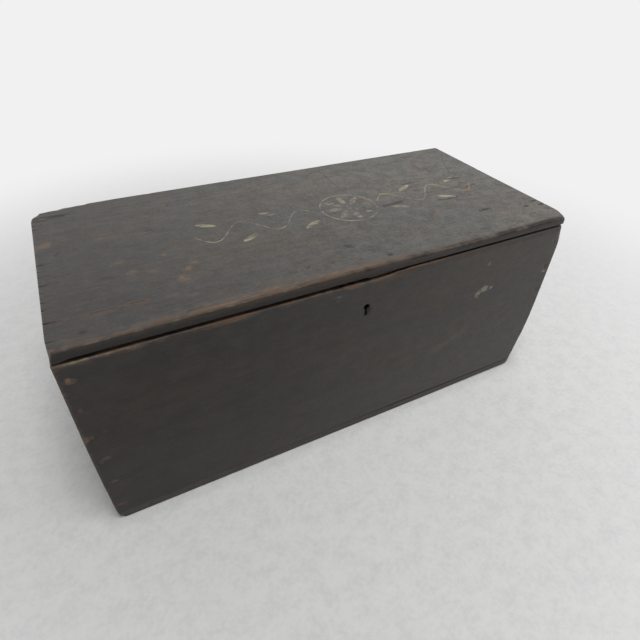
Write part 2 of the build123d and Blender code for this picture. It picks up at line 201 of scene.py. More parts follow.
# Thin dark scratches, dashes and cracks in the paint: path as its places in turn, half width,
# both in mm, and strength
LID_SCRATCHES = (
    ((320, 120, 300, 93, 276, 45, 264, 30), 0.7, 0.55),
    ((81, 130, 79, 60, 81, -8), 0.9, 0.5),
    ((111, 128, 121, 100, 138, 81, 145, 51), 0.8, 0.4),
    ((0, 118, 10, 78, 40, 18, 45, 1), 0.6, 0.35), ((2, -92, 10, -99), 2.0, 0.7),
    ((107, -19, 136, -17), 3.2, 0.7), ((221, -7, 250, -7), 1.9, 0.6),
    ((204, 42, 238, 39), 1.8, 0.4), ((-324, 115, -307, 117, -290, 119), 2.0, 0.9),
    ((-266, -46, -258, -50), 2.6, 0.45), ((180, -6, 200, -6), 2.0, 0.4),
    ((192, -33, 208, -36, 224, -35), 1.9, 0.75), ((262, -12, 280, -9), 2.4, 0.5),
    ((174, 33, 199, 35), 2.2, 0.6), ((176, 20, 190, 19), 2.0, 0.5),
    ((-286, -105, -262, -104), 1.0, 0.6), ((-248, -104, -236, -104), 1.2, 0.7),
    ((223, -84, 243, -83), 1.3, 0.9), ((293, -100, 299, -99), 2.2, 0.8),
    ((316, -91, 324, -90), 1.6, 0.9), ((317, -104, 325, -103), 1.8, 0.9),
    ((250, 25, 273, 21), 2.4, 0.75), ((-306, 21, -303, 27), 1.8, 0.5),
    ((-204, 40, -198, 41), 2.2, 0.45), ((-200, -139, -188, -138), 2.0, 0.5),
)
LID_CRACKS = (
    ((-322, -103, -292, -105), 1.3, 0.65), ((-292, -105, -259, -104), 2.1, 0.95),
    ((-252, -104, -231, -104), 2.6, 1.0), ((-282, -32, -270, -30), 3.5, 0.25),
)
FRONT_SCRATCHES = (((-40, 96, -28, 100), 0.5, 0.8),)

# Marks on the front: place along and up, half length, half height, in mm, and strength; each
# fades out this many times as far from its middle
MARK_FADE = 1.6
FRONT_RUBS = (
    (-318, 238, 6, 3.4, 1.2), (-325, 156, 4, 4, 0.8), (-314, 118, 7, 3, 0.9),
    (-315, 75.5, 7, 2.4, 1.0), (-317, 29, 8, 2.8, 1.0), (322, 222, 4, 22, 0.5),
    (317, 243, 6, 3, 0.6), (-305, 160, 3, 3, 0.4), (318, 189, 8, 3, 0.5),
    (321, 157, 3, 4, 0.5), (320, 72, 3, 4, 0.5),
)
FRONT_PALE = (
    (202, 191, 7, 6, 1.4), (191, 186, 7, 8, 0.95), (214, 190, 5, 4, 1.0),
    (197, 234, 3, 6, 0.9), (318, 190, 7, 2.5, 1.3), (321, 239, 4, 4, 0.9),
    (-36, 245, 7, 8, 0.5), (44, 211, 7, 4, 0.4), (59, 213, 6, 4, 0.4),
)
FRONT_BROWN = (
    (-180, 132, 30, 26, 1.2), (22, 120, 55, 30, 1.2), (-26, 209, 16, 8, 1.2),
    (-270, 60, 50, 25, 0.9), (180, 60, 60, 22, 0.9),
)
FRONT_SMEAR = (130, 100, 182, 119)

# How far the case's front lip has risen, as places along it and heights there, in mm; how much
# of that the whole thickness of the rim takes part in, and how much more at the left end
LIP_PLACES = (-330, -150, -60, -40, -20, 25, 45, 60, 330)
LIP_HEIGHTS = (0.9, 0.9, 1.4, 1.0, 0.5, 0.8, 3.2, 4.1, 4.0)
RIM_RISE = 2.0 * MM
END_RISE = 1.2 * MM

# Between which heights that rise grows, where along the rim its whole thickness begins to take
# part, how deep the lip is, and where the left end's own rise lies along and across
RISING = (0.245, 0.259)
WHOLE_FROM = (0.046, 0.07)
LIP_DEPTH = (-0.146, -0.143)
END_ALONG = (-0.321, -0.312)
END_ACROSS = (-0.14, -0.1)

# Layers of paint, wear, dirt, painted shade and painted light that a mesh carries, with their
# levels before it is worn
LAYERS = {
    "paint": 1.1, "outside": 1.0, "fade": 0.2, "brown": 0.35,
    "grime": 0.0, "rust": 0.0, "pale": 0.0,
}
MOST_OF_A_LAYER = 1.2

# Camera and stage; a tone is a step from one level to another between two places. The floor
# carries two painted tones: painted light, darker to the left and lighter to the right, and a
# painted contact shadow along the chest's front foot.
CAMERA_PLACE = Vector((-0.265964, -0.519420, 0.565132))
CAMERA_YAW, CAMERA_PITCH, CAMERA_ROLL = map(math.radians, (29.1894, 38.7777, 2.7125))
CAMERA_LENS = 26.8054
CAMERA_SENSOR = 36.0
FLOOR_HALF = 12.0
LAMP_PLACE = Vector((-0.05, -0.8, 3.0))
LAMP_SIZE = 1.4
LAMP_POWER = 66.0
SKY_LEVEL = 0.5
SKY_TONE = (-0.8, 0.9, 0.25, 1.1)
BRIGHT_SIDE = Vector((0.70, 0.62, 0.35)).normalized()
BACKGROUND = (0.88, 0.88, 0.88)
FLOOR_FADE = (0.35, 1.15)
FLOOR_PAINTED_LIGHT = (-0.4, 0.6, 0.86, 1.07)
FLOOR_BUMPS = 0.5 * MM
FOOTPRINT = (328 * MM, 148 * MM)
PAINTED_CONTACT_SHADOW = (0.0, 22 * MM, 0.86, 1.0)

# Ornament of the lid
ORNAMENT_CENTRE = (60 * MM, -2 * MM)
PETALS = 8
PETAL_MIDDLE = 22 * MM
PETAL_LONG = 13 * MM
PETAL_WIDE = 4.2 * MM
ROSETTE_HEART = 5 * MM
ROSETTE_RING = 40 * MM
STROKE = 1.9 * MM
VINE_START = 47 * MM
VINE_LENGTH = 168 * MM
VINE_WAVE = 84 * MM
VINE_SWING = 19 * MM
LEAF_OUT = -25 * MM
LEAF_LONG = 14 * MM
LEAF_WIDE = 4.0 * MM
LEAF_LEAN = math.radians(28)

# Growth rings of the pine: width of a year, how far they drift, and how ragged the fibres are
RING_WIDTH = 5.2 * MM
RING_DRIFT = 50 * MM
RING_RAGGED = 1.2 * MM

# Colours, linear
PAINT_DARK = (0.025, 0.024, 0.023)
PAINT_LIGHT = (0.045, 0.043, 0.040)
# Grey of faded paint and of painted light
PAINT_FADED_AND_LIT = (0.105, 0.105, 0.097)
PAINT_THIN = (0.088, 0.066, 0.052)
BROWN_TINT = (1.45, 1.03, 0.74)
PINE_WORN = (0.165, 0.112, 0.076)
PINE_WORN_DARK = (0.080, 0.054, 0.038)
PINE_EARLY = (0.300, 0.180, 0.088)
PINE_LATE = (0.150, 0.076, 0.032)
PINE_HAIR = (0.420, 0.270, 0.140)
PINE_DULL = (0.160, 0.095, 0.050)
# Dark of dirt and of painted shade
GRIME_AND_SHADE = (0.010, 0.008, 0.007)
IRON_DARK = (0.050, 0.045, 0.042)
IRON_LIGHT = (0.095, 0.088, 0.082)
STEEL_DARK = (0.250, 0.245, 0.240)
STEEL_LIGHT = (0.400, 0.390, 0.380)
RUST = (0.200, 0.098, 0.050)
RUST_DARK = (0.085, 0.032, 0.016)
NAIL_TAN = (0.150, 0.098, 0.066)
CRACK_BROWN = (0.066, 0.040, 0.029)
CREAM = (0.420, 0.360, 0.235)
PALE = (0.340, 0.325, 0.255)
FLOOR_LIGHT = (0.715, 0.715, 0.71)
FLOOR_DULL = (0.63, 0.63, 0.63)


# Noise and shaping, in numpy so that every run gives the same boards


def lattice_value(i, j, k, seed):
    """A number from -1 to 1 for each whole-numbered point, always the same."""
    h = (i * 374761393 + j * 668265263 + k * 1442695041 + seed * 1274126177) & 0xFFFFFFFF
    h = ((h ^ (h >> 13)) * 1274126177) & 0xFFFFFFFF
    return ((h ^ (h >> 16)) & 0xFFFF) / 32767.5 - 1.0


def noise(points, size, seed):
    """Smooth noise from -1 to 1; its features have one size in metres, or one for each axis."""
    q = points / np.asarray(size, float)
    base = np.floor(q).astype(np.int64)
    f = q - base
    f = f * f * (3 - 2 * f)
    total = np.zeros(len(points))
    for corner in itertools.product((0, 1), repeat=3):
        share = np.prod(np.where(corner, f, 1 - f), axis=1)
        i, j, k = (base + corner).T
        total += share * lattice_value(i, j, k, seed)
    return total


def smooth(value, low, high):
    """0 below low, 1 above high, and a smooth step between."""
    t = np.clip((value - low) / (high - low), 0, 1)
    return t * t * (3 - 2 * t)


def fall(value, low, high):
    """1 below low, 0 above high, and a smooth step between."""
    return smooth(-value, -high, -low)


def hill(value, reach):
    """1 where a distance is nothing, fading to 0 at a reach."""
    return 1 - smooth(np.abs(value), 0, reach)


def bell(value, middle, reach):
    """1 at the middle, falling off to both sides like a bell."""
    return np.exp(-(((value - middle) / reach) ** 2))


def oval(u, v, centre_u, centre_v, half_u, half_v):
    """1 at the middle of an oval, fading to 0 on its rim; sizes in mm."""
    along = (u / MM - centre_u) / half_u
    across = (v / MM - centre_v) / half_v
    return hill(np.hypot(along, across), 1.0)


def marks(u, v, table, where):
    """Each mark of a table, at its strength."""
    return [
        strength * where * oval(u, v, place_u, place_v, half_u * MARK_FADE, half_v * MARK_FADE)
        for place_u, place_v, half_u, half_v, strength in table
    ]


def path_distance(x, y, path):
    """Distance in the plane from points to a path, whose places follow one another in mm."""
    best = np.full(len(x), np.inf)
    for (x0, y0), (x1, y1) in itertools.pairwise(np.reshape(path, (-1, 2)) * MM):
        dx, dy = x1 - x0, y1 - y0
        t = np.clip(((x - x0) * dx + (y - y0) * dy) / (dx * dx + dy * dy), 0, 1)
        best = np.minimum(best, np.hypot(x - x0 - t * dx, y - y0 - t * dy))
    return best


# Boards as closed grids, whose points are then worn


def grid_lines(low, high, cell, extra):
    """Places of grid lines between two faces, closer together near both."""
    count = max(2, round((high - low - 2 * EDGE_STEPS[-1]) / cell))
    middle = np.linspace(low + EDGE_STEPS[-1], high - EDGE_STEPS[-1], count + 1)
    lines = np.concatenate([low + EDGE_STEPS, middle, high - EDGE_STEPS])
    extra = np.array([e for e in extra if low + LEAST_STEP < e < high - LEAST_STEP])
    if len(extra):
        clear = np.min(np.abs(lines[:, None] - extra[None, :]), axis=1) > LEAST_STEP
        clear |= (lines == lines.min()) | (lines == lines.max())
        lines = np.concatenate([lines[clear], extra])
    lines = np.sort(lines)
    keep = np.concatenate([[True], np.diff(lines) > LEAST_STEP / 2])
    lines = lines[keep]
    lines[-1] = high
    return lines


def grid_box(xs, ys, zs):
    """Points and four-sided faces of a closed box with these grid lines."""
    shape = (len(xs), len(ys), len(zs))
    surface = np.ones(shape, bool)
    surface[1:-1, 1:-1, 1:-1] = False
    index = np.full(shape, -1, np.int64)
    index[surface] = np.arange(surface.sum())
    gx, gy, gz = np.meshgrid(xs, ys, zs, indexing="ij")
    points = np.stack([gx[surface], gy[surface], gz[surface]], axis=1)
    faces = []
    for axis, side in FACES.values():
        sheet = np.take(index, 0 if side == LOW else -1, axis=axis)
        a, b, c, d = sheet[:-1, :-1], sheet[1:, :-1], sheet[1:, 1:], sheet[:-1, 1:]
        outward = (side == HIGH) != (axis == Y)
        order = (a, b, c, d) if outward else (a, d, c, b)
        faces.append(np.stack([q.ravel() for q in order], axis=1))
    return points, np.concatenate(faces)


def knock_plane(corner, inward, reach):
    """A point and the outward normal of the plane through three reaches from a corner, in mm."""
    normal = -np.array(inward) / np.array(reach)
    origin = np.array(corner) * MM + np.array([inward[X] * reach[X] * MM, 0, 0])
    return origin, normal / np.linalg.norm(normal)


def make_mesh(name, points, faces):
    mesh = bpy.data.meshes.new(name)
    mesh.from_pydata(points, [], faces)
    mesh.update()
    return mesh


def new_object(name, data):
    """A new object in the scene."""
    obj = bpy.data.objects.new(name, data)
    bpy.context.scene.collection.objects.link(obj)
    return obj


class Board:
    """A board's points, its faces and the box that it was sawn to."""

    def __init__(self, box, cell, lines, arrises):
        self.low, self.high = (np.array(corner, float) for corner in box)
        self.arrises = arrises
        grids = [grid_lines(self.low[i], self.high[i], cell, lines.get(i, ())) for i in (X, Y, Z)]
        self.points, self.faces = grid_box(*grids)

    def mesh(self, name):
        return make_mesh(name, self.points.tolist(), self.faces.tolist())

    def depth(self, face):
        """Distance of each point inwards from a face."""
        axis, side = FACES[face]
        if side == LOW:
            return self.points[:, axis] - self.low[axis]
        return self.high[axis] - self.points[:, axis]

    def set_depth(self, face, depth, which):
        axis, side = FACES[face]
        place = self.low[axis] + depth if side == LOW else self.high[axis] - depth
        self.points[which, axis] = place[which]

    def press(self, face, depth):
        """Moves a face inwards by a depth for each point; the far face stays."""
        axis = FACES[face][0]
        share = 1 - np.clip(self.depth(face) / (self.high[axis] - self.low[axis]), 0, 1)
        self.set_depth(face, self.depth(face) + depth * share, slice(None))

    def round_arris(self, arris, radius):
        """Rounds the arris between two faces, with a radius for each point."""
        first, second = arris.split()
        va, vb = radius - self.depth(first), radius - self.depth(second)
        length = np.hypot(va, vb)
        which = (va > 0) & (vb > 0) & (length > radius)
        share = np.where(which, radius / np.maximum(length, 1e-9), 1)
        self.set_depth(first, radius - va * share, which)
        self.set_depth(second, radius - vb * share, which)

    def wear_arrises(self, seed):
        """Rounds all arrises, more in rubbed stretches, with small chips."""
        for number, arris in enumerate(ARRISES):
            radius, chips, *_ = self.arrises.get(arris, PLAIN_ARRIS)
            rubbed = noise(self.points, 70 * MM, seed + number)
            chipped = np.clip(noise(self.points, 9 * MM, seed + 50 + number) - 0.35, 0, 1)
            self.round_arris(arris, MM * (radius * (1 + 0.3 * rubbed) + chips * chipped))

    def near_arris(self, arris, reach):
        """1 on an arris, fading to 0 at a reach from it, in mm."""
        first, second = arris.split()
        return hill(np.hypot(self.depth(first), self.depth(second)), reach * MM)

    def plane_faces(self, along, seed):
        """Leaves every face a little uneven, longer along the grain."""
        size = np.full(3, 45 * MM)
        size[along] = 220 * MM
        for number, face in enumerate(FACES):
            if FACES[face][0] != along:
                self.press(face, PLANING * (0.5 + 0.5 * noise(self.points, size, seed + number)))

    def cut_plane(self, origin, normal, softness, roughness, seed):
        """Presses what stands outside a plane back to it, with a soft and uneven edge."""
        out = (self.points - origin) @ normal
        out += roughness * noise(self.points, 8 * MM, seed)
        depth = softness * np.logaddexp(0, out / softness)
        depth = np.where(out > -4 * softness, depth, 0)
        self.points -= depth[:, None] * normal

    def knock_corners(self, knocks, seed):
        """Takes corners off, each along the plane through its three reaches."""
        for number, knock in enumerate(knocks):
            self.cut_plane(*knock_plane(*knock), KNOCK_SOFTNESS, KNOCK_ROUGHNESS, seed + number)


# Shaping of the five boards of the case and the lid


def mirrored(value):
    """A value on both sides of the middle."""
    return (-value, value)


def pair_of_lines(places):
    """Two grid lines, close together, for a sharp step at each place."""
    return [place + side for place in places for side in mirrored(0.1 * MM)]


def nail_lines():
    """Grid lines around and over the heads of the nails."""
    return {
        X: [x + step for x in mirrored(NAIL_X) for step in NAIL_LINES],
        Z: [z + step for z in NAIL_HEIGHTS for step in NAIL_LINES],
    }


def sink_nails(board, face, seed):
    """Dents the wood around each nail head, less where filler still covers it."""
    x, z = board.points[:, X], board.points[:, Z]
    for number, (nail_x, nail_z) in enumerate(itertools.product(mirrored(NAIL_X), NAIL_HEIGHTS)):
        away = np.hypot(
            np.maximum(np.abs(x - nail_x) - NAIL_HALF[0], 0),
            np.maximum(np.abs(z - nail_z) - NAIL_HALF[1], 0),
        )
        amount = 0.55 + 0.45 * lattice_value(number, seed, 0, 7)
        near = hill(away, 3.0 * MM) * (board.depth(face) < 2.0 * MM)
        board.press(face, NAIL_DENT * amount * near)


def hinge_lines():
    """Grid lines along the edges of both hinges."""
    places = []
    for node in HINGE_LEAVES:
        low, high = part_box(node)
        places += [low[X], high[X]]
    return {X: pair_of_lines(places), Y: pair_of_lines([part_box(HINGE_LEAVES[0])[0][Y]])}


def let_in_hinges(board, gains):
    """Makes the hollows for the knuckles, and the gains for the case's leaves."""
    pin_low, pin_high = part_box("left_hinge_pin")
    axis_y, axis_z = (pin_low[Y] + pin_high[Y]) / 2, (pin_low[Z] + pin_high[Z]) / 2
    x, y, z = board.points.T
    for node in HINGE_LEAVES:
        low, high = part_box(node)
        beside = (x > low[X]) & (x < high[X])
        if gains:
            board.press("top", LEAF_THICKNESS * (beside & (y > low[Y])))
        away = np.hypot(y - axis_y, z - axis_z)
        which = beside & (away < KNUCKLE_ROOM)
        scale = KNUCKLE_ROOM / np.maximum(away, 1e-9)
        board.points[which, Y] = (axis_y + (y - axis_y) * scale)[which]
        board.points[which, Z] = (axis_z + (z - axis_z) * scale)[which]


def near_knocks(points):
    """1 on the planes where corners were knocked off, fading to 0 beside them."""
    planes = itertools.starmap(knock_plane, KNOCKED_CORNERS)
    outside = [(points - origin) @ normal for origin, normal in planes]
    return hill(np.array(outside), 1.5 * MM).max(axis=0)


def coat(board, inner, seed):
    """The layers on a board at each point. Inner faces are bare, rubbed arrises nearly so."""
    points = board.points
    levels = {name: np.full(len(points), level) for name, level in LAYERS.items()}
    layers = SimpleNamespace(**levels)
    rubbed = 0.75 + 0.5 * noise(points, 70 * MM, seed) + 0.35 * noise(points, 14 * MM, seed + 1)
    for arris, (_, _, *rub) in board.arrises.items():
        if rub:
            amount, reach = rub
            layers.paint -= amount * rubbed * board.near_arris(arris, reach)
    for face in inner:
        bare = board.depth(face) < 1.2 * MM
        layers.paint[bare] = 0
        layers.outside[bare] = 0
    return layers


def open_seam(x):
    """How dirty the seam over the bottom board is: it is tight at the left, open at the right."""
    return (0.12 + 0.83 * smooth(x, -0.05, 0.12)) * (1 - 0.3 * smooth(x, 0.15, 0.27))


def raise_rim(board):
    """Lets the rim rise a little towards the right front corner, and its front lip most."""
    x, y, z = board.points.T
    lip = np.interp(x / MM, LIP_PLACES, LIP_HEIGHTS) * MM
    whole = np.minimum(lip, RIM_RISE * (0.5 + 0.5 * smooth(x, *WHOLE_FROM)))
    rise = whole * fall(y, -0.13, 0.13) + (lip - whole) * fall(y, *LIP_DEPTH)
    rise += END_RISE * fall(x, *END_ALONG) * fall(y, *END_ACROSS)
    board.points[:, Z] += rise * smooth(z, *RISING)


def bare_rim(board, layers, inner, seed):
    """Wears the paint off the top edge, from the inner face outwards."""
    on_rim = board.depth("top") < 1.6 * MM
    across = smooth(board.depth(inner), 1 * MM, 14 * MM)
    patchy = across * 0.9 + 0.25 * noise(board.points, 25 * MM, seed)
    layers.paint = np.where(on_rim, np.minimum(layers.paint, patchy), layers.paint)
    layers.outside = np.where(on_rim, np.maximum(across, 0.4), layers.outside)


def finish_board(mesh, layers):
    """Keeps the layers with a mesh, for its material, and shades it smooth but for sharp edges."""
    for name, values in vars(layers).items():
        attribute = mesh.attributes.new(name, "FLOAT", "POINT")
        attribute.data.foreach_set("value", np.clip(values, 0, MOST_OF_A_LAYER).astype(np.float32))
    mesh.polygons.foreach_set("use_smooth", [True] * len(mesh.polygons))
    mesh.set_sharp_from_angle(angle=SHARP_ANGLE)
    return mesh


def mesh_points(mesh):
    co = np.zeros(len(mesh.vertices) * 3)
    mesh.vertices.foreach_get("co", co)
    return co.reshape(-1, 3)


def loft(name, outlines):
    """A closed solid through outlines of equal length, each a list of points in mm."""
    count = len(outlines[0])
    points = np.concatenate([np.array(outline) * MM for outline in outlines])
    faces = [tuple(range(count))[::-1], tuple(range(len(points) - count, len(points)))]
    for a in range(0, len(points) - count, count):
        for i in range(count):
            j = (i + 1) % count
            faces.append((a + i, a + j, a + count + j, a + count + i))
    mesh = make_mesh(name, points.tolist(), faces)
    work = bmesh.new()
    work.from_mesh(mesh)
    bmesh.ops.recalc_face_normals(work, faces=work.faces)
    work.to_mesh(mesh)
    work.free()
    return mesh


def block(name, low, high):
    """A solid between two opposite corners in mm."""
    ring = ((low[X], low[Z]), (high[X], low[Z]), (high[X], high[Z]), (low[X], high[Z]))
    return loft(name, [[(x, y, z) for x, z in ring] for y in (low[Y], high[Y])])


def keyhole_outline(y, grown):
    """Round head and straight slot of the keyhole, grown by a margin; in mm."""
    head, half = KEYHOLE_HEAD + grown, KEYHOLE_HALF + grown
    start = math.asin(half / head)
    ring = []
    for i in range(KEYHOLE_STEPS + 1):
        angle = -math.pi / 2 + start + (2 * math.pi - 2 * start) * i / KEYHOLE_STEPS
        ring.append((KEYHOLE_X + head * math.cos(angle), KEYHOLE_Z + head * math.sin(angle)))
    foot = KEYHOLE_FOOT - grown
    for side, rise in ((-half, half / 2), (-half / 2, 0), (half / 2, 0), (half, half / 2)):
        ring.append((KEYHOLE_X + side, foot + rise))
    return [(x, y, z) for x, z in ring]


def take_away(mesh, cutters):
    """The mesh with each cutter's space taken out of it."""
    obj = new_object("cut", mesh)
    for cutter in cutters:
        modifier = obj.modifiers.new("cut", "BOOLEAN")
        modifier.object = new_object("cutter", cutter)
        modifier.operation = "DIFFERENCE"
        modifier.solver = "MANIFOLD"
    depsgraph = bpy.context.evaluated_depsgraph_get()
    result = bpy.data.meshes.new_from_object(obj.evaluated_get(depsgraph))
    for modifier in obj.modifiers:
        bpy.data.objects.remove(modifier.object)
    bpy.data.objects.remove(obj)
    return result


def shape_front():
    board = Board(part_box("front_board"), FINE_CELL, nail_lines(), FRONT_ARRISES)
    board.plane_faces(X, 100)
    board.wear_arrises(110)
    x, _, z = board.points.T
    low_stretch = 0.9 * MM * bell(x, 0.03, 0.16)
    board.press("top", low_stretch * smooth(board.depth("back"), 4 * MM, 13 * MM))
    board.round_arris("front under", 1.8 * MM * open_seam(x))
    sink_nails(board, "front", 3)
    board.knock_corners(KNOCKED_CORNERS, 120)
    lobe = smooth(oval(x, z, *KEYHOLE_LOBE), 0.0, 0.5)
    board.press("front", 1.6 * MM * lobe * (board.depth("front") < 3 * MM))
    raise_rim(board)
    cutters = [
        loft("keyhole", [keyhole_outline(y, grown) for y, grown in KEYHOLE_RINGS]),
        block("mortise", *MORTISE),
        block("selvedge_seat", *SELVEDGE_SEAT),
    ]
    mesh = take_away(board.mesh("front_board"), cutters)
    board.points = mesh_points(mesh)
    return finish_board(mesh, coat_front(board))


def coat_front(board):
    layers = coat(board, ["back"], 130)
    bare_rim(board, layers, "back", 131)
    layers.brown[:] = 0.6
    x, _, z = board.points.T
    front = board.depth("front")
    on_front = front < 3 * MM
    # The paint is lighter towards the right, and lighter towards the bottom as painted light
    # bounced from the floor
    layers.fade = 0.3 * smooth(x, -0.33, 0.30) + 0.12 * fall(z, 0.0, 0.22)
    smear = on_front * hill(path_distance(x, z, FRONT_SMEAR), 10 * MM)
    layers.fade += 0.2 * smear
    layers.paint -= 0.35 * smear
    ragged = 0.7 + 0.5 * noise(board.points, 16 * MM, 132) + 0.4 * noise(board.points, 6 * MM, 133)
    worn = (0.82 + 0.25 * bell(x, 0.03, 0.08)) * (1 - 0.25 * smooth(x, 0.03, 0.1))
    worn *= fall(x, 0.15, 0.22)
    layers.paint -= worn * ragged * board.near_arris("front top", 8)
    # Pale along the top arris at the left end, partly painted highlight
    layers.pale = 0.62 * fall(x, -0.27, -0.2) * board.near_arris("front top", 4.5)
    layers.paint -= 0.6 * near_knocks(board.points)
    layers.pale = np.maximum.reduce([layers.pale, *marks(x, z, FRONT_PALE, on_front)])
    layers.brown = np.maximum.reduce([layers.brown, *marks(x, z, FRONT_BROWN, on_front)])
    for mark in marks(x, z, FRONT_RUBS, on_front):
        layers.paint -= mark
    line_middle, line_half = KEYHOLE_LINE
    past_line = np.maximum(np.abs(z / MM - line_middle) - line_half, 0)
    from_hole = np.hypot(x / MM - KEYHOLE_X, past_line)
    layers.grime = np.maximum.reduce([
        # Darker towards the left end
        0.16 * on_front * fall(x, -0.33, 0.1),
        0.7 * on_front * hill(from_hole, 8.0),
        # Painted shade: the top arris towards the right is darkened, beneath the lid's edge
        0.45 * smooth(x, 0.025, 0.05) * board.near_arris("front top", 7),
        # Painted shade: the dented lobe beside the keyhole is near black, like the dark of an
        # opening
        0.95 * on_front * smooth(oval(x, z, *KEYHOLE_LOBE), 0.1, 0.4),
        on_front * open_seam(x) * fall(board.depth("under"), 1.2 * MM, 2.4 * MM),
    ])
    # Painted shade: the walls inside the keyhole are darkened
    layers.grime[(from_hole < 7) & (front > 0.8 * MM) & (front < 5.2 * MM)] = 0.85
    return layers


def shape_back():
    lines, hinges = nail_lines(), hinge_lines()
    lines = {X: lines[X] + hinges[X], Y: hinges[Y], Z: lines[Z]}
    board = Board(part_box("back_board"), COARSE_CELL, lines, BACK_ARRISES)
    board.plane_faces(X, 200)
    board.wear_arrises(210)
    sink_nails(board, "back", 5)
    let_in_hinges(board, gains=True)
    layers = coat(board, ["front"], 220)
    bare_rim(board, layers, "front", 221)
    layers.grime = 0.5 * hill(board.depth("under"), 1.6 * MM)
    return finish_board(board.mesh("back_board"), layers)


def shape_end(node, outer, inner, seed):
    arrises = {f"{outer} top": (1.8, 1.4, 0.8, 5), f"{inner} top": (1.0, 0.5)}
    board = Board(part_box(node), COARSE_CELL, {}, arrises)
    board.plane_faces(Y, seed)
    board.wear_arrises(seed + 10)
    raise_rim(board)
    layers = coat(board, [inner], seed + 20)
    bare_rim(board, layers, inner, seed + 21)
    seams = [hill(board.depth(face), 1.4 * MM) for face in ("front", "back", "under")]
    layers.grime = 0.55 * np.maximum.reduce(seams)
    return finish_board(board.mesh(node), layers)


def shape_bottom():
    board = Board(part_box("bottom_board"), COARSE_CELL, {}, BOTTOM_ARRISES)
    board.plane_faces(X, 500)
    board.wear_arrises(510)
    board.round_arris("front under", 5.0 * MM * smooth(board.points[:, X], 0.1, 0.27))
    board.knock_corners(KNOCKED_CORNERS, 520)
    layers = coat(board, ["top", "under"], 530)
    layers.outside[board.depth("under") < 1.2 * MM] = 0.75
    layers.paint -= 0.6 * near_knocks(board.points)
    sides = np.minimum.reduce([board.depth(face) for face in ("front", "back", "left", "right")])
    seam_edge = (sides < 2 * MM) & (board.depth("top") < 3 * MM)
    layers.paint[seam_edge] = 1.0
    layers.outside[seam_edge] = 1.0
    seam = fall(board.depth("top"), 0.5 * MM, 1.4 * MM) * (sides < 3 * MM)
    layers.grime = seam * open_seam(board.points[:, X])
    return finish_board(board.mesh("bottom_board"), layers)


def open_check(board, end, place, length, depth, seed):
    """Opens a crack in the top that runs in from one end; sizes in mm. Returns its dirt."""
    across = board.points[:, Y] - place * MM
    core = hill(across, CHECK_HALF)
    dirty = np.minimum(1.6 * core, 1)
    along = np.clip(1 - board.depth(end) / (length * MM), 0, 1)
    broken = smooth(noise(board.points * (1, 0, 0), 26 * MM, seed + 40), -0.35, 0.25)
    along = along * np.maximum(broken, board.depth(end) < 12 * MM)
    upper = smooth(board.depth("under"), 2 * MM, 11 * MM)
    board.press("top", depth * MM * core * along**0.6)
    board.press(end, 0.8 * depth * MM * core * upper)
    wander = noise(board.points * (1, 0, 0), 24 * MM, seed)
    board.points[:, Y] += CHECK_HALF * wander * hill(across, 6 * MM)
    return dirty * np.maximum(along**0.4, upper * (board.depth(end) < 3 * MM))


def shape_lid():
    low, high = (np.array(corner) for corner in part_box("lid_board"))
    high[Z] = low[Z] + LID_THICKNESS
    checks = [(end, *check) for end, table in END_CHECKS.items() for check in table]
    lines = hinge_lines()
    lines[Y] = lines[Y] + [check[1] * MM + step for check in checks for step in CHECK_LINES]
    board = Board((low, high), FINE_CELL, lines, LID_ARRISES)
    board.plane_faces(X, 600)
    board.wear_arrises(610)
    x, y, _ = board.points.T
    radius = 2.0 + 4.0 * smooth(x, -0.324, -0.31) + 2.5 * smooth(x, -0.1, 0.2)
    board.round_arris("front under", radius * MM)
    board.knock_corners(KNOCKED_LID_CORNERS, 615)
    split = np.zeros(len(x))
    for (x0, y0), (x1, y1) in np.array(SPLIT_CORNER) * MM:
        origin = np.array([x0, y0, high[Z]])
        normal = np.array([y0 - y1, x1 - x0, SPLIT_LEAN * (x1 - x0)])
        normal /= np.linalg.norm(normal)
        board.cut_plane(origin, normal, SPLIT_SOFTNESS, SPLIT_ROUGHNESS, 620)
        split = np.maximum(split, hill((board.points - origin) @ normal, 3 * MM))
    grime = np.zeros(len(x))
    for number, check in enumerate(checks):
        grime = np.maximum(grime, open_check(board, *check, 630 + number))
    for *place, depth in LID_DENTS:
        dent = oval(x, y, *place)
        board.press("top", depth * MM * dent)
        grime = np.maximum(grime, 0.9 * smooth(dent, 0.1, 0.7) * (board.depth("top") < 4 * MM))
    let_in_hinges(board, gains=False)
    layers = coat_lid(board, split)
    layers.grime = np.maximum(layers.grime, 0.9 * grime)
    bow = np.clip(bell(x, -0.01, 0.11) + 0.9 * smooth(x, 0.12, 0.33), 0, 1) * fall(y, -0.148, 0.09)
    board.points[:, Z] += LID_BOW * bow * board.depth("under") / LID_THICKNESS
    return finish_board(board.mesh("lid_board"), layers)


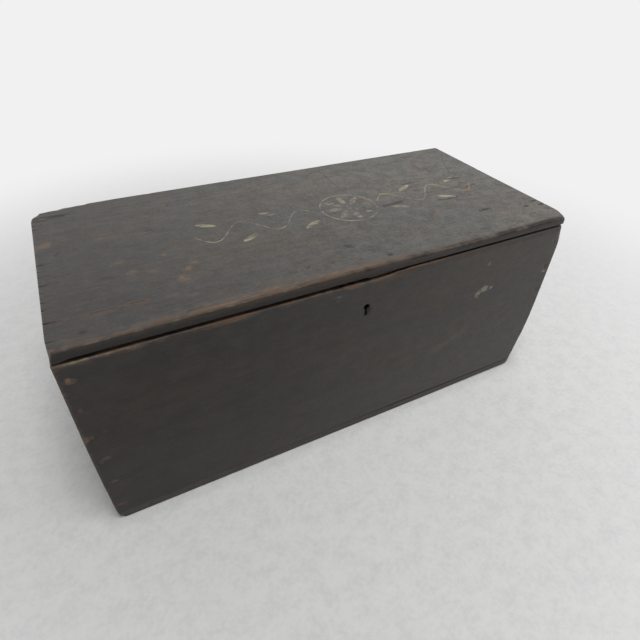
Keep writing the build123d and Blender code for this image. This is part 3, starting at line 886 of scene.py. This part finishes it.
def coat_lid(board, split):
    layers = coat(board, ["under"], 640)
    x, y, _ = board.points.T
    front, under, top = (board.depth(face) for face in ("front", "under", "top"))
    on_top = top < 4 * MM
    on_face = fall(front, 1.5 * MM, 5 * MM) * (under > 0.3 * MM)
    to_right = smooth(x, 0.03, 0.12)
    to_left = fall(x, 0.0, 0.12) * (1 - fall(x, -0.29, -0.23))
    coarse, fine = noise(board.points, 16 * MM, 641), noise(board.points, 6 * MM, 642)

    layers.brown = 0.5 + 0.15 * fall(x, -0.2, 0.15) + 0.7 * on_face * to_right
    layers.brown -= 0.35 * fall(x, -0.3, -0.2) * smooth(y, 0.0, 0.08)
    # Faded paint, more on the top than on the edges; its lightening towards the right and the back
    # is partly painted sheen
    top_fade_and_sheen = 0.60 * smooth(x, -0.33, 0.33) + 0.12 * smooth(x, -0.33, -0.1)
    top_fade_and_sheen += 0.12 * smooth(y, -0.14, 0.1)
    faded_side = 0.05 * smooth(x, -0.2, 0.33)
    layers.fade = faded_side + (top_fade_and_sheen - faded_side) * fall(top, 0.5 * MM, 2.5 * MM)
    # Pale flecks along the lid's front top arris, partly painted highlight
    flecks_and_highlight = (0.1 + 0.35 * fall(x, -0.1, 0.05)) * (1 + 1.5 * fine)
    layers.pale = flecks_and_highlight * board.near_arris("front top", 4)

    from_arris, from_under = np.hypot(front, 2.5 * top), np.hypot(front, under)
    band = 0.9 * hill(from_arris, (7 + 2 * to_left) * MM)
    band += (0.4 + 0.2 * to_left) * hill(from_arris, (18 + 10 * to_left) * MM)
    worn = 0.95 + 0.05 * fall(x, 0.04, 0.14)
    layers.paint -= worn * (0.9 + 0.5 * coarse + 0.5 * fine) * band
    layers.paint -= on_face * (0.15 + 0.3 * to_right * fall(from_under, 3 * MM, 7 * MM))
    layers.paint -= 0.9 * split
    for along, across, reach in LID_RUBS:
        spot = on_top * hill(np.hypot(x - along * MM, y - across * MM), 1.9 * reach * MM)
        layers.paint -= 0.68 * (1 + 0.5 * coarse + 0.8 * fine) * spot
    for path, reach, amount in LID_STREAKS:
        streak = on_top * hill(path_distance(x, y, path), MARK_FADE * reach * MM)
        layers.paint -= amount * (1 + 0.5 * coarse + 0.6 * fine) * streak

    # Dirt over the top near the front, and painted shade on its front strip towards the right,
    # where the rounded arris turns away from the light
    soiled_and_shaded = 0.42 + 0.4 * coarse + 0.3 * fine + 0.18 * smooth(x, 0.05, 0.2)
    soiled_and_shaded += 0.26 * smooth(x, -0.02, 0.09) * fall(front, 2.5 * MM, 4.5 * MM)
    soiled_and_shaded += 0.5 * to_right * fall(front, 6 * MM, 9 * MM)
    soiled_and_shaded -= 0.75 * to_right * board.near_arris("front top", 5)
    # Painted shade: the whole front face of the lid is darker, deepest towards its underside above
    # the gap
    shade = 0.66 - 0.24 * to_right + (0.28 + 0.12 * to_right) * fall(from_under, 3.5 * MM, 12 * MM)
    layers.grime = np.maximum(soiled_and_shaded * hill(front, 11 * MM) * on_top, shade * on_face)
    rust = [(along, across, reach, reach, 1) for along, across, reach in LID_RUST]
    layers.rust = np.maximum.reduce(marks(x, y, rust, on_top))
    return layers


# Node trees, written with short calls


def node_operator(operation):
    """An operator of a value that adds a math node."""
    return lambda self, other=0.0: self.graph.math(operation, self, other)


class Value:
    """A value in a node tree, so that sums and products of nodes read as such."""

    def __init__(self, graph, socket):
        self.graph = graph
        self.socket = socket

    def __radd__(self, other):
        return self.graph.math("ADD", other, self)

    __add__ = node_operator("ADD")
    __sub__ = node_operator("SUBTRACT")
    __mul__ = node_operator("MULTIPLY")
    __truediv__ = node_operator("DIVIDE")
    __abs__ = node_operator("ABSOLUTE")


class Graph:
    """Adds nodes to the tree of a material or a world and links them."""

    def __init__(self, owner):
        owner.use_nodes = True
        self.owner = owner
        self.tree = owner.node_tree
        self.tree.nodes.clear()

    def add(self, kind, inputs, **settings):
        node = self.tree.nodes.new(kind)
        for key, value in settings.items():
            setattr(node, key, value)
        for key, value in inputs.items():
            socket = node.inputs[key]
            if isinstance(value, Value):
                self.tree.links.new(value.socket, socket)
            elif socket.type == "RGBA" and len(value) == 3:
                socket.default_value = (*value, 1)
            else:
                socket.default_value = value
        return node

    def get(self, kind, inputs, output=0, **settings):
        """The value from one output of a new node."""
        return Value(self, self.add(kind, inputs, **settings).outputs[output])

    def math(self, operation, first, second=0.0):
        return self.get("ShaderNodeMath", {0: first, 1: second}, operation=operation)

    def most(self, first, second):
        return self.math("MAXIMUM", first, second)

    def vector(self, operation, first, second=(0, 0, 0)):
        output = "Value" if operation in ("LENGTH", "DOT_PRODUCT") else "Vector"
        return self.get("ShaderNodeVectorMath", {0: first, 1: second}, output, operation=operation)

    def split(self, value):
        outputs = self.add("ShaderNodeSeparateXYZ", {0: value}).outputs
        return [Value(self, output) for output in outputs]

    def join(self, x, y, z=0.0):
        return self.get("ShaderNodeCombineXYZ", {0: x, 1: y, 2: z})

    def noise(self, value, along, across, detail=2.0, roughness=0.5):
        """Noise from 0 to 1, with a scale along the grain and one across it."""
        if along != across:
            value, along = self.vector("MULTIPLY", value, (along, across, across)), 1.0
        values = {"Vector": value, "Scale": along, "Detail": detail, "Roughness": roughness}
        return self.get("ShaderNodeTexNoise", values)

    def step(self, value, low, high, to_low=0.0, to_high=1.0):
        """A smooth step from one number to another as a value rises from low to high."""
        if low > high:
            low, high, to_low, to_high = high, low, to_high, to_low
        values = {"Value": value, "From Min": low, "From Max": high}
        values |= {"To Min": to_low, "To Max": to_high}
        return self.get("ShaderNodeMapRange", values, interpolation_type="SMOOTHSTEP")

    def inside(self, value, edge, softness):
        """1 where a value is below an edge, 0 past it."""
        return self.step(value, edge - softness / 2, edge + softness / 2, 1.0, 0.0)

    def mix(self, share, first, second):
        return self.get("ShaderNodeMix", {0: share, 6: first, 7: second}, 2, data_type="RGBA")

    def position(self, shift=(0, 0, 0)):
        return self.vector("ADD", self.get("ShaderNodeTexCoord", {}, "Object"), shift)

    def surface(self, color, roughness, height, depth, metallic=0.0, gloss=0.5):
        values = {"Base Color": color, "Roughness": roughness, "Metallic": metallic}
        values["Normal"] = self.get("ShaderNodeBump", {"Height": height, "Distance": depth})
        values["Specular IOR Level"] = gloss
        shader = self.get("ShaderNodeBsdfPrincipled", values)
        self.add("ShaderNodeOutputMaterial", {"Surface": shader})
        return shader

    def seen(self):
        """1 for rays from the camera, from gloss and through glass."""
        rays = self.add("ShaderNodeLightPath", {}).outputs
        kinds = ("Is Camera Ray", "Is Glossy Ray", "Is Transmission Ray")
        camera, glossy, through = (Value(self, rays[kind]) for kind in kinds)
        return self.most(camera, self.most(glossy, through))


def oval_mask(g, a, b, half_long, half_wide):
    """1 inside an oval about the origin, 0 outside."""
    p, q = (g.math("POWER", part, 2) for part in (a / half_long, b / half_wide))
    return g.inside(p + q, 0.95, 0.4)


def rosette_mask(g, u, v):
    """Petals about a round heart, in a ring."""
    radius = g.vector("LENGTH", g.join(u, v))
    turn = g.math("PINGPONG", g.math("ARCTAN2", v, u), math.pi / PETALS)
    along = radius * g.math("COSINE", turn) - PETAL_MIDDLE
    across = radius * g.math("SINE", turn)
    petals = oval_mask(g, along, across, PETAL_LONG, PETAL_WIDE)
    ring = g.inside(abs(radius - ROSETTE_RING), STROKE / 2, STROKE / 2)
    return g.most(g.most(petals, ring), g.inside(radius, ROSETTE_HEART, STROKE / 2))


def vine_mask(g, u, v):
    """A wavy stem on each side, with a leaf in every bend."""
    run = abs(u) - VINE_START
    stem_v = g.math("SINE", run * (2 * math.pi / VINE_WAVE)) * VINE_SWING
    stem = g.inside(abs(v - stem_v), STROKE / 2, STROKE / 2)
    half_waves = run / (VINE_WAVE / 2)
    place = (g.math("FRACT", half_waves) - 0.5) * (VINE_WAVE / 2)
    side = g.math("FRACT", g.math("FLOOR", half_waves) * 0.5) * 4 - 1
    out = v * side + LEAF_OUT
    lean_cos, lean_sin = math.cos(LEAF_LEAN), math.sin(LEAF_LEAN)
    leaf_a = place * lean_cos + out * lean_sin
    leaf_b = out * lean_cos - place * lean_sin
    vine = g.most(stem, oval_mask(g, leaf_a, leaf_b, LEAF_LONG, LEAF_WIDE))
    return vine * g.step(run, 0.0, STROKE) * g.inside(run, VINE_LENGTH, STROKE)


def scratch_mask(g, coords, up_axis, scratches):
    """Thin marks along paths, a little unsteady."""
    unsteady = g.noise(coords, 90, 90) - 0.5
    axes = g.split(coords)
    place = g.join(axes[X] + unsteady * (2 * MM), axes[up_axis] + unsteady * (3 * MM))
    mask = 0.0
    for path, half_width, strength in scratches:
        for start, end in itertools.pairwise(zip(path[::2], path[1::2])):
            start = Vector((*start, 0)) * MM
            run = Vector((*end, 0)) * MM - start
            away = g.vector("SUBTRACT", place, start)
            share = g.vector("DOT_PRODUCT", away, run / run.length_squared)
            share = g.most(g.math("MINIMUM", share, 1.0), 0.0)
            nearest = g.vector("MULTIPLY", run, g.join(share, share, share))
            off = g.vector("LENGTH", g.vector("SUBTRACT", away, nearest))
            mask = g.most(g.inside(off, half_width * MM, half_width * MM) * strength, mask)
    return mask


def growth_rings(g, grain, fibre, centre):
    """Share of dark late wood, from rings about a line along the grain."""
    _, across, up = g.split(grain)
    ring_a = across - centre[0] + g.noise(grain, 2.2, 9) * RING_DRIFT
    radius = g.vector("LENGTH", g.join(ring_a, up - centre[1])) + fibre * RING_RAGGED
    ring = g.math("FRACT", radius / RING_WIDTH)
    return g.step(ring, 0.35, 0.9) * g.inside(ring, 0.965, 0.07)


def pine_material(
    name, along, rings, seed, show=0.3, gloss=0.35, scratches=(), up_axis=Y, cracks=()
):
    """Charcoal paint over pine. The mesh says where paint, dirt, rust, rubbing, painted shade and
    painted light lie. The board with cracks, which is the lid, has the ornament too."""
    g = Graph(bpy.data.materials.new(name))
    coords = g.position()
    x, y, z = g.split(coords)
    grain = g.join(y, x, z) if along == Y else coords
    grain = g.vector("ADD", grain, (seed * 1.7, seed * 0.9, seed * 0.3))
    paint, outside, fade, brown, grime, rust, pale = (
        g.get("ShaderNodeAttribute", {}, "Fac", attribute_name=layer) for layer in LAYERS
    )

    # Noises by their scales along and across the grain, detail and roughness
    fibre = g.noise(grain, 13, 330, 3, 0.6)
    hair = g.noise(grain, 55, 1500)
    cloud = g.noise(grain, 5, 11, 3, 0.55)
    mottle = g.noise(grain, 42, 42, 4, 0.6)
    blotch = g.noise(grain, 60, 85, 6, 0.7)
    speck = g.noise(grain, 620, 620, 2, 0.6)
    patch = g.noise(grain, 60, 160, 3, 0.65)
    brushed = g.noise(grain, 16, 70, 4, 0.6)
    grit = g.noise(grain, 260, 420)
    brown_fleck = g.noise(grain, 38, 110, 3, 0.6)
    dark_fleck = g.noise(grain, 110, 300)
    chip = g.noise(grain, 140, 280, 3, 0.6)
    uneven = patch - 0.5
    break_up = patch * 0.6 + fibre * 0.4
    late = growth_rings(g, grain, fibre, (rings[0] + seed * 0.9, rings[1] + seed * 0.3))

    wood = g.mix(late * 0.75, PINE_EARLY, PINE_LATE)
    wood = g.mix(g.step(fibre, 0.25, 0.8, 0.0, 0.45), wood, PINE_LATE)
    wood = g.mix(g.step(hair, 0.35, 0.75, 0.0, 0.3), wood, PINE_HAIR)
    wood = g.mix(g.step(cloud, 0.35, 0.75, 0.0, 0.5), wood, PINE_DULL)
    worn = g.mix(g.step(fibre, 0.3, 0.75), PINE_WORN, PINE_WORN_DARK)
    wood = g.mix(outside, wood, worn)

    tone = (brushed * 0.4 + mottle * 0.6) * (1 - show) + fibre * show
    charcoal = g.mix(g.step(tone, 0.3, 0.72), PAINT_DARK, PAINT_LIGHT)
    charcoal = g.mix(g.step(hair, 0.5, 0.8, 0.0, show), charcoal, PAINT_DARK)
    # Faded paint, and painted light where the mesh asks for it, lighten the charcoal
    charcoal = g.mix(fade * (0.6 + (cloud + mottle) * 0.4), charcoal, PAINT_FADED_AND_LIT)
    tint = g.step(cloud * 0.6 + patch * 0.4, 0.38, 0.68) * brown
    tint = g.most(tint * 0.7, g.step(brown_fleck, 0.52, 0.7) * brown * 0.9)
    charcoal = g.mix(tint, charcoal, g.vector("MULTIPLY", charcoal, BROWN_TINT))
    contrast = show * 4.6 - 0.3 + fade * 2.3
    blotched = 1.0 + (blotch * 0.7 + grit * 0.5 - 0.6) * contrast
    charcoal = g.vector("MULTIPLY", charcoal, g.join(blotched, blotched, blotched))
    charcoal = g.mix(g.step(paint + uneven * 1.2, 0.45, 1.0, 0.8, 0.0), charcoal, PAINT_THIN)
    charcoal = g.mix(g.step(speck, 0.7, 0.8, 0.0, show), charcoal, PALE)
    charcoal = g.mix(g.step(dark_fleck, 0.66, 0.74, 0.0, show), charcoal, GRIME_AND_SHADE)

    cover = g.step(paint + (break_up - 0.5) * 0.9, 0.42, 0.56)
    color = g.mix(cover, wood, charcoal)
    if cracks:
        u, v = x - ORNAMENT_CENTRE[0], y - ORNAMENT_CENTRE[1]
        strokes = g.most(rosette_mask(g, u, v), vine_mask(g, u, v))
        left = g.step(break_up * 0.7 + cloud * 0.3, 0.39, 0.58)
        above = g.step(z, LID_MIDDLE, LID_MIDDLE + MM)
        color = g.mix(strokes * left * (above * 0.65), color, CREAM)
        color = g.mix(scratch_mask(g, coords, up_axis, cracks) * above, color, CRACK_BROWN)
    # Pale paint, and painted highlight along worn arrises where the mesh asks for it
    pale_share = g.step(pale + (chip - 0.5) * 1.2, 0.35, 0.95, 0.0, 0.55)
    color = g.mix(pale_share * g.step(pale, 0.02, 0.12), color, PALE)
    color = g.mix(g.step(rust + uneven * 0.8, 0.3, 0.8) * 0.8, color, RUST)
    if scratches:
        grime = g.most(grime, scratch_mask(g, coords, up_axis, scratches) * outside)
    # Dirt, and painted shade where the mesh asks for it, darken the colour
    color = g.mix(g.math("MINIMUM", grime, 0.95), color, GRIME_AND_SHADE)

    height = fibre * g.step(cover, 0.0, 1.0, 0.4, show * 0.7) + late * 0.16
    height += hair * 0.12 + (mottle * 0.5 + blotch * 0.6)
    height += cover * 0.25 - grime * 0.5
    roughness = g.step(cover, 0.0, 1.0, 0.74, 0.5) + (mottle - 0.5) * 0.3
    g.surface(color, roughness, height, 0.4 * MM, gloss=gloss)
    return g.owner


def iron_material(name, seed, rusted, polished=0.0):
    """Dark wrought iron with rust, brighter where it is polished by use."""
    g = Graph(bpy.data.materials.new(name))
    coords = g.position((seed * 1.3, seed * 0.7, seed * 0.2))
    patches = g.noise(coords, 160, 160, 5, 0.65)
    pits = g.noise(coords, 900, 900, 3, 0.6)
    strokes = g.noise(coords, 220, 1600)
    iron = g.mix(strokes, IRON_DARK, IRON_LIGHT)
    bright = g.mix(strokes, STEEL_DARK, STEEL_LIGHT)
    iron = g.mix(g.step(patches, 0.2, 0.8, polished, polished * 0.6), iron, bright)
    share = g.step(patches, 0.62 - rusted * 0.35, 0.78 - rusted * 0.2)
    color = g.mix(share, iron, g.mix(pits, RUST_DARK, RUST))
    roughness = g.step(share, 0.0, 1.0, 0.42, 0.8) + (pits - 0.5) * 0.15
    metallic = g.step(share, 0.0, 1.0, 0.85, 0.1)
    g.surface(color, roughness, patches * 0.5 + pits * 0.5, 0.2 * MM, metallic)
    return g.owner


def nail_material(name):
    """Nail heads painted over with the boards, and rusting through; one is quite bare."""
    g = Graph(bpy.data.materials.new(name))
    coords = g.position()
    patches = g.noise(coords, 260, 260, 4, 0.65)
    pits = g.noise(coords, 900, 900, 3, 0.6)
    painted = g.mix(pits, PAINT_DARK, PAINT_LIGHT)
    rust = g.mix(pits, RUST_DARK, RUST)
    color = g.mix(g.step(patches, 0.42, 0.62, 0.05, 0.4), painted, rust)
    from_bare = g.vector("LENGTH", g.vector("SUBTRACT", coords, Vector(BARE_NAIL) * MM))
    color = g.mix(g.inside(from_bare, 5 * MM, 3 * MM), color, NAIL_TAN)
    roughness = g.step(patches, 0.3, 0.7, 0.55, 0.8)
    g.surface(color, roughness, patches * 0.5 + pits * 0.5, 0.25 * MM)
    return g.owner


# Boards and their paint


def worn_nails():
    """The nails of the front, filed down where a corner of the case was knocked off."""
    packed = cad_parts["front_nails"]
    mesh = packed.data.copy()
    mesh.name = "front_nails.worn"
    mesh.transform(packed.matrix_world)
    points = mesh_points(mesh)
    for knock in KNOCKED_CORNERS:
        origin, normal = knock_plane(*knock)
        points -= np.maximum((points - origin) @ normal + NAIL_SHY, 0)[:, None] * normal
    mesh.vertices.foreach_set("co", points.ravel())
    mesh.update()
    return mesh


def add_board(mesh, body, material):
    """A board that stands for the node of the same name."""
    node = mesh.name.split(".")[0]
    board = new_object(f"worn_{node}", mesh)
    mesh.materials.clear()
    mesh.materials.append(material)
    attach(board, body)
    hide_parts(node)


front_paint = pine_material("paint_front", X, (0.05, -0.35), 1, 0.15, 0.3, FRONT_SCRATCHES, Z)
back_paint = pine_material("paint_back", X, (-0.04, -0.3), 2)
left_paint = pine_material("paint_left_end", Y, (0.03, -0.3), 3)
right_paint = pine_material("paint_right_end", Y, (-0.03, 0.6), 4)
bottom_paint = pine_material("paint_bottom", X, (0.02, -0.12), 5)
lid_paint = pine_material("paint_lid", X, (0.04, 0.10), 6, 0.4, 0.37, LID_SCRATCHES, Y, LID_CRACKS)

add_board(shape_front(), "case", front_paint)
add_board(shape_back(), "case", back_paint)
add_board(shape_end("left_end_board", "left", "right", 300), "case", left_paint)
add_board(shape_end("right_end_board", "right", "left", 400), "case", right_paint)
add_board(shape_bottom(), "case", bottom_paint)
add_board(shape_lid(), "lid", lid_paint)
add_board(worn_nails(), "case", nail_material("nail_iron_painted"))

# Nails, hinges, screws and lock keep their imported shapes: name, seed, rust and polish of each
# iron, and the nodes made of it
IRONWORK = {
    ("nail_iron_rusted", 1, 0.5): ("back_nails", "bottom_nails", "lock_nails"),
    ("hinge_iron_browned", 2, 0.6): (
        "left_hinge_case_leaf", "left_hinge_lid_leaf", "left_hinge_pin",
        "right_hinge_case_leaf", "right_hinge_lid_leaf", "right_hinge_pin",
    ),
    ("screw_iron_browned", 3, 0.7): ("case_hinge_screws", "lid_hinge_screws", "staple_screws"),
    ("lock_iron_browned", 4, 0.45): (
        "lock_plate", "lock_bridle", "lock_stump", "lock_key_pin", "lock_ward", "lid_staple",
    ),
    ("lock_steel_rubbed", 5, 0.25, 0.8): ("lock_bolt", "lock_spring"),
}
for settings, nodes in IRONWORK.items():
    iron = iron_material(*settings)
    for node in nodes:
        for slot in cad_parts[node].material_slots:
            slot.material = iron


# Floor, lights and camera


def floor_material():
    """Plain pale floor that fades into the background away from the chest, with painted light and
    a painted contact shadow near the chest.
    """
    g = Graph(bpy.data.materials.new("pale_floor"))
    coords = g.position()
    trodden = g.noise(coords, 45, 45, 7, 0.75) * 0.8 + g.noise(coords, 180, 180, 3) * 0.2
    color = g.mix(g.step(trodden, 0.3, 0.62), FLOOR_DULL, FLOOR_LIGHT)
    x, y, _ = g.split(coords)
    # Painted contact shadow along the chest's front foot, by the distance from it
    past_end = g.most(abs(x) - FOOTPRINT[X], 0.0)
    from_foot = g.vector("LENGTH", g.join(past_end, y + FOOTPRINT[Y]))
    # Painted light: the floor darker to the left and lighter to the right, times the painted
    # contact shadow
    tone = g.step(x, *FLOOR_PAINTED_LIGHT) * g.step(from_foot, *PAINTED_CONTACT_SHADOW)
    color = g.get("ShaderNodeHueSaturation", {"Value": tone, "Color": color})
    matt = g.surface(color, 0.85, trodden, FLOOR_BUMPS, gloss=0.15)
    glow = g.get("ShaderNodeEmission", {"Color": BACKGROUND})
    share = g.step(g.vector("LENGTH", coords), *FLOOR_FADE) * g.seen()
    faded = g.get("ShaderNodeMixShader", {0: share, 1: matt, 2: glow})
    g.add("ShaderNodeOutputMaterial", {"Surface": faded}, is_active_output=True)
    return g.owner


def light_world():
    """Soft light from all sides, stronger from one, and the same pale background all round."""
    world = bpy.data.worlds.new("studio")
    bpy.context.scene.world = world
    g = Graph(world)
    direction = g.get("ShaderNodeTexCoord", {}, "Generated")
    side = g.step(g.vector("DOT_PRODUCT", direction, BRIGHT_SIDE), *SKY_TONE)
    soft = g.get("ShaderNodeBackground", {"Strength": side * SKY_LEVEL})
    pale = g.get("ShaderNodeBackground", {"Color": BACKGROUND})
    mixed = g.get("ShaderNodeMixShader", {0: g.seen(), 1: soft, 2: pale})
    g.add("ShaderNodeOutputWorld", {"Surface": mixed})


corners = [(x * FLOOR_HALF, y * FLOOR_HALF, 0) for x, y in ((-1, -1), (1, -1), (1, 1), (-1, 1))]
floor = new_object("floor", make_mesh("floor", corners, [(0, 1, 2, 3)]))
floor.data.materials.append(floor_material())

light_world()
lamp = new_object("softbox", bpy.data.lights.new("softbox", "AREA"))
lamp.data.shape = "DISK"
lamp.data.size = LAMP_SIZE
lamp.data.energy = LAMP_POWER
lamp.location = LAMP_PLACE
lamp.rotation_euler = (-LAMP_PLACE).to_track_quat("-Z", "Y").to_euler()

# The photograph's viewpoint, from its place, turn, tilt and lean
camera = new_object("camera", bpy.data.cameras.new("camera"))
camera.data.lens = CAMERA_LENS
camera.data.sensor_width = CAMERA_SENSOR
turn = Matrix.Rotation(-CAMERA_YAW, 4, "Z") @ Matrix.Rotation(math.pi / 2 - CAMERA_PITCH, 4, "X")
lean = Matrix.Rotation(CAMERA_ROLL, 4, "Z")
camera.matrix_world = Matrix.Translation(CAMERA_PLACE) @ turn @ lean
bpy.context.scene.camera = camera
bpy.context.scene.view_settings.view_transform = "Standard"
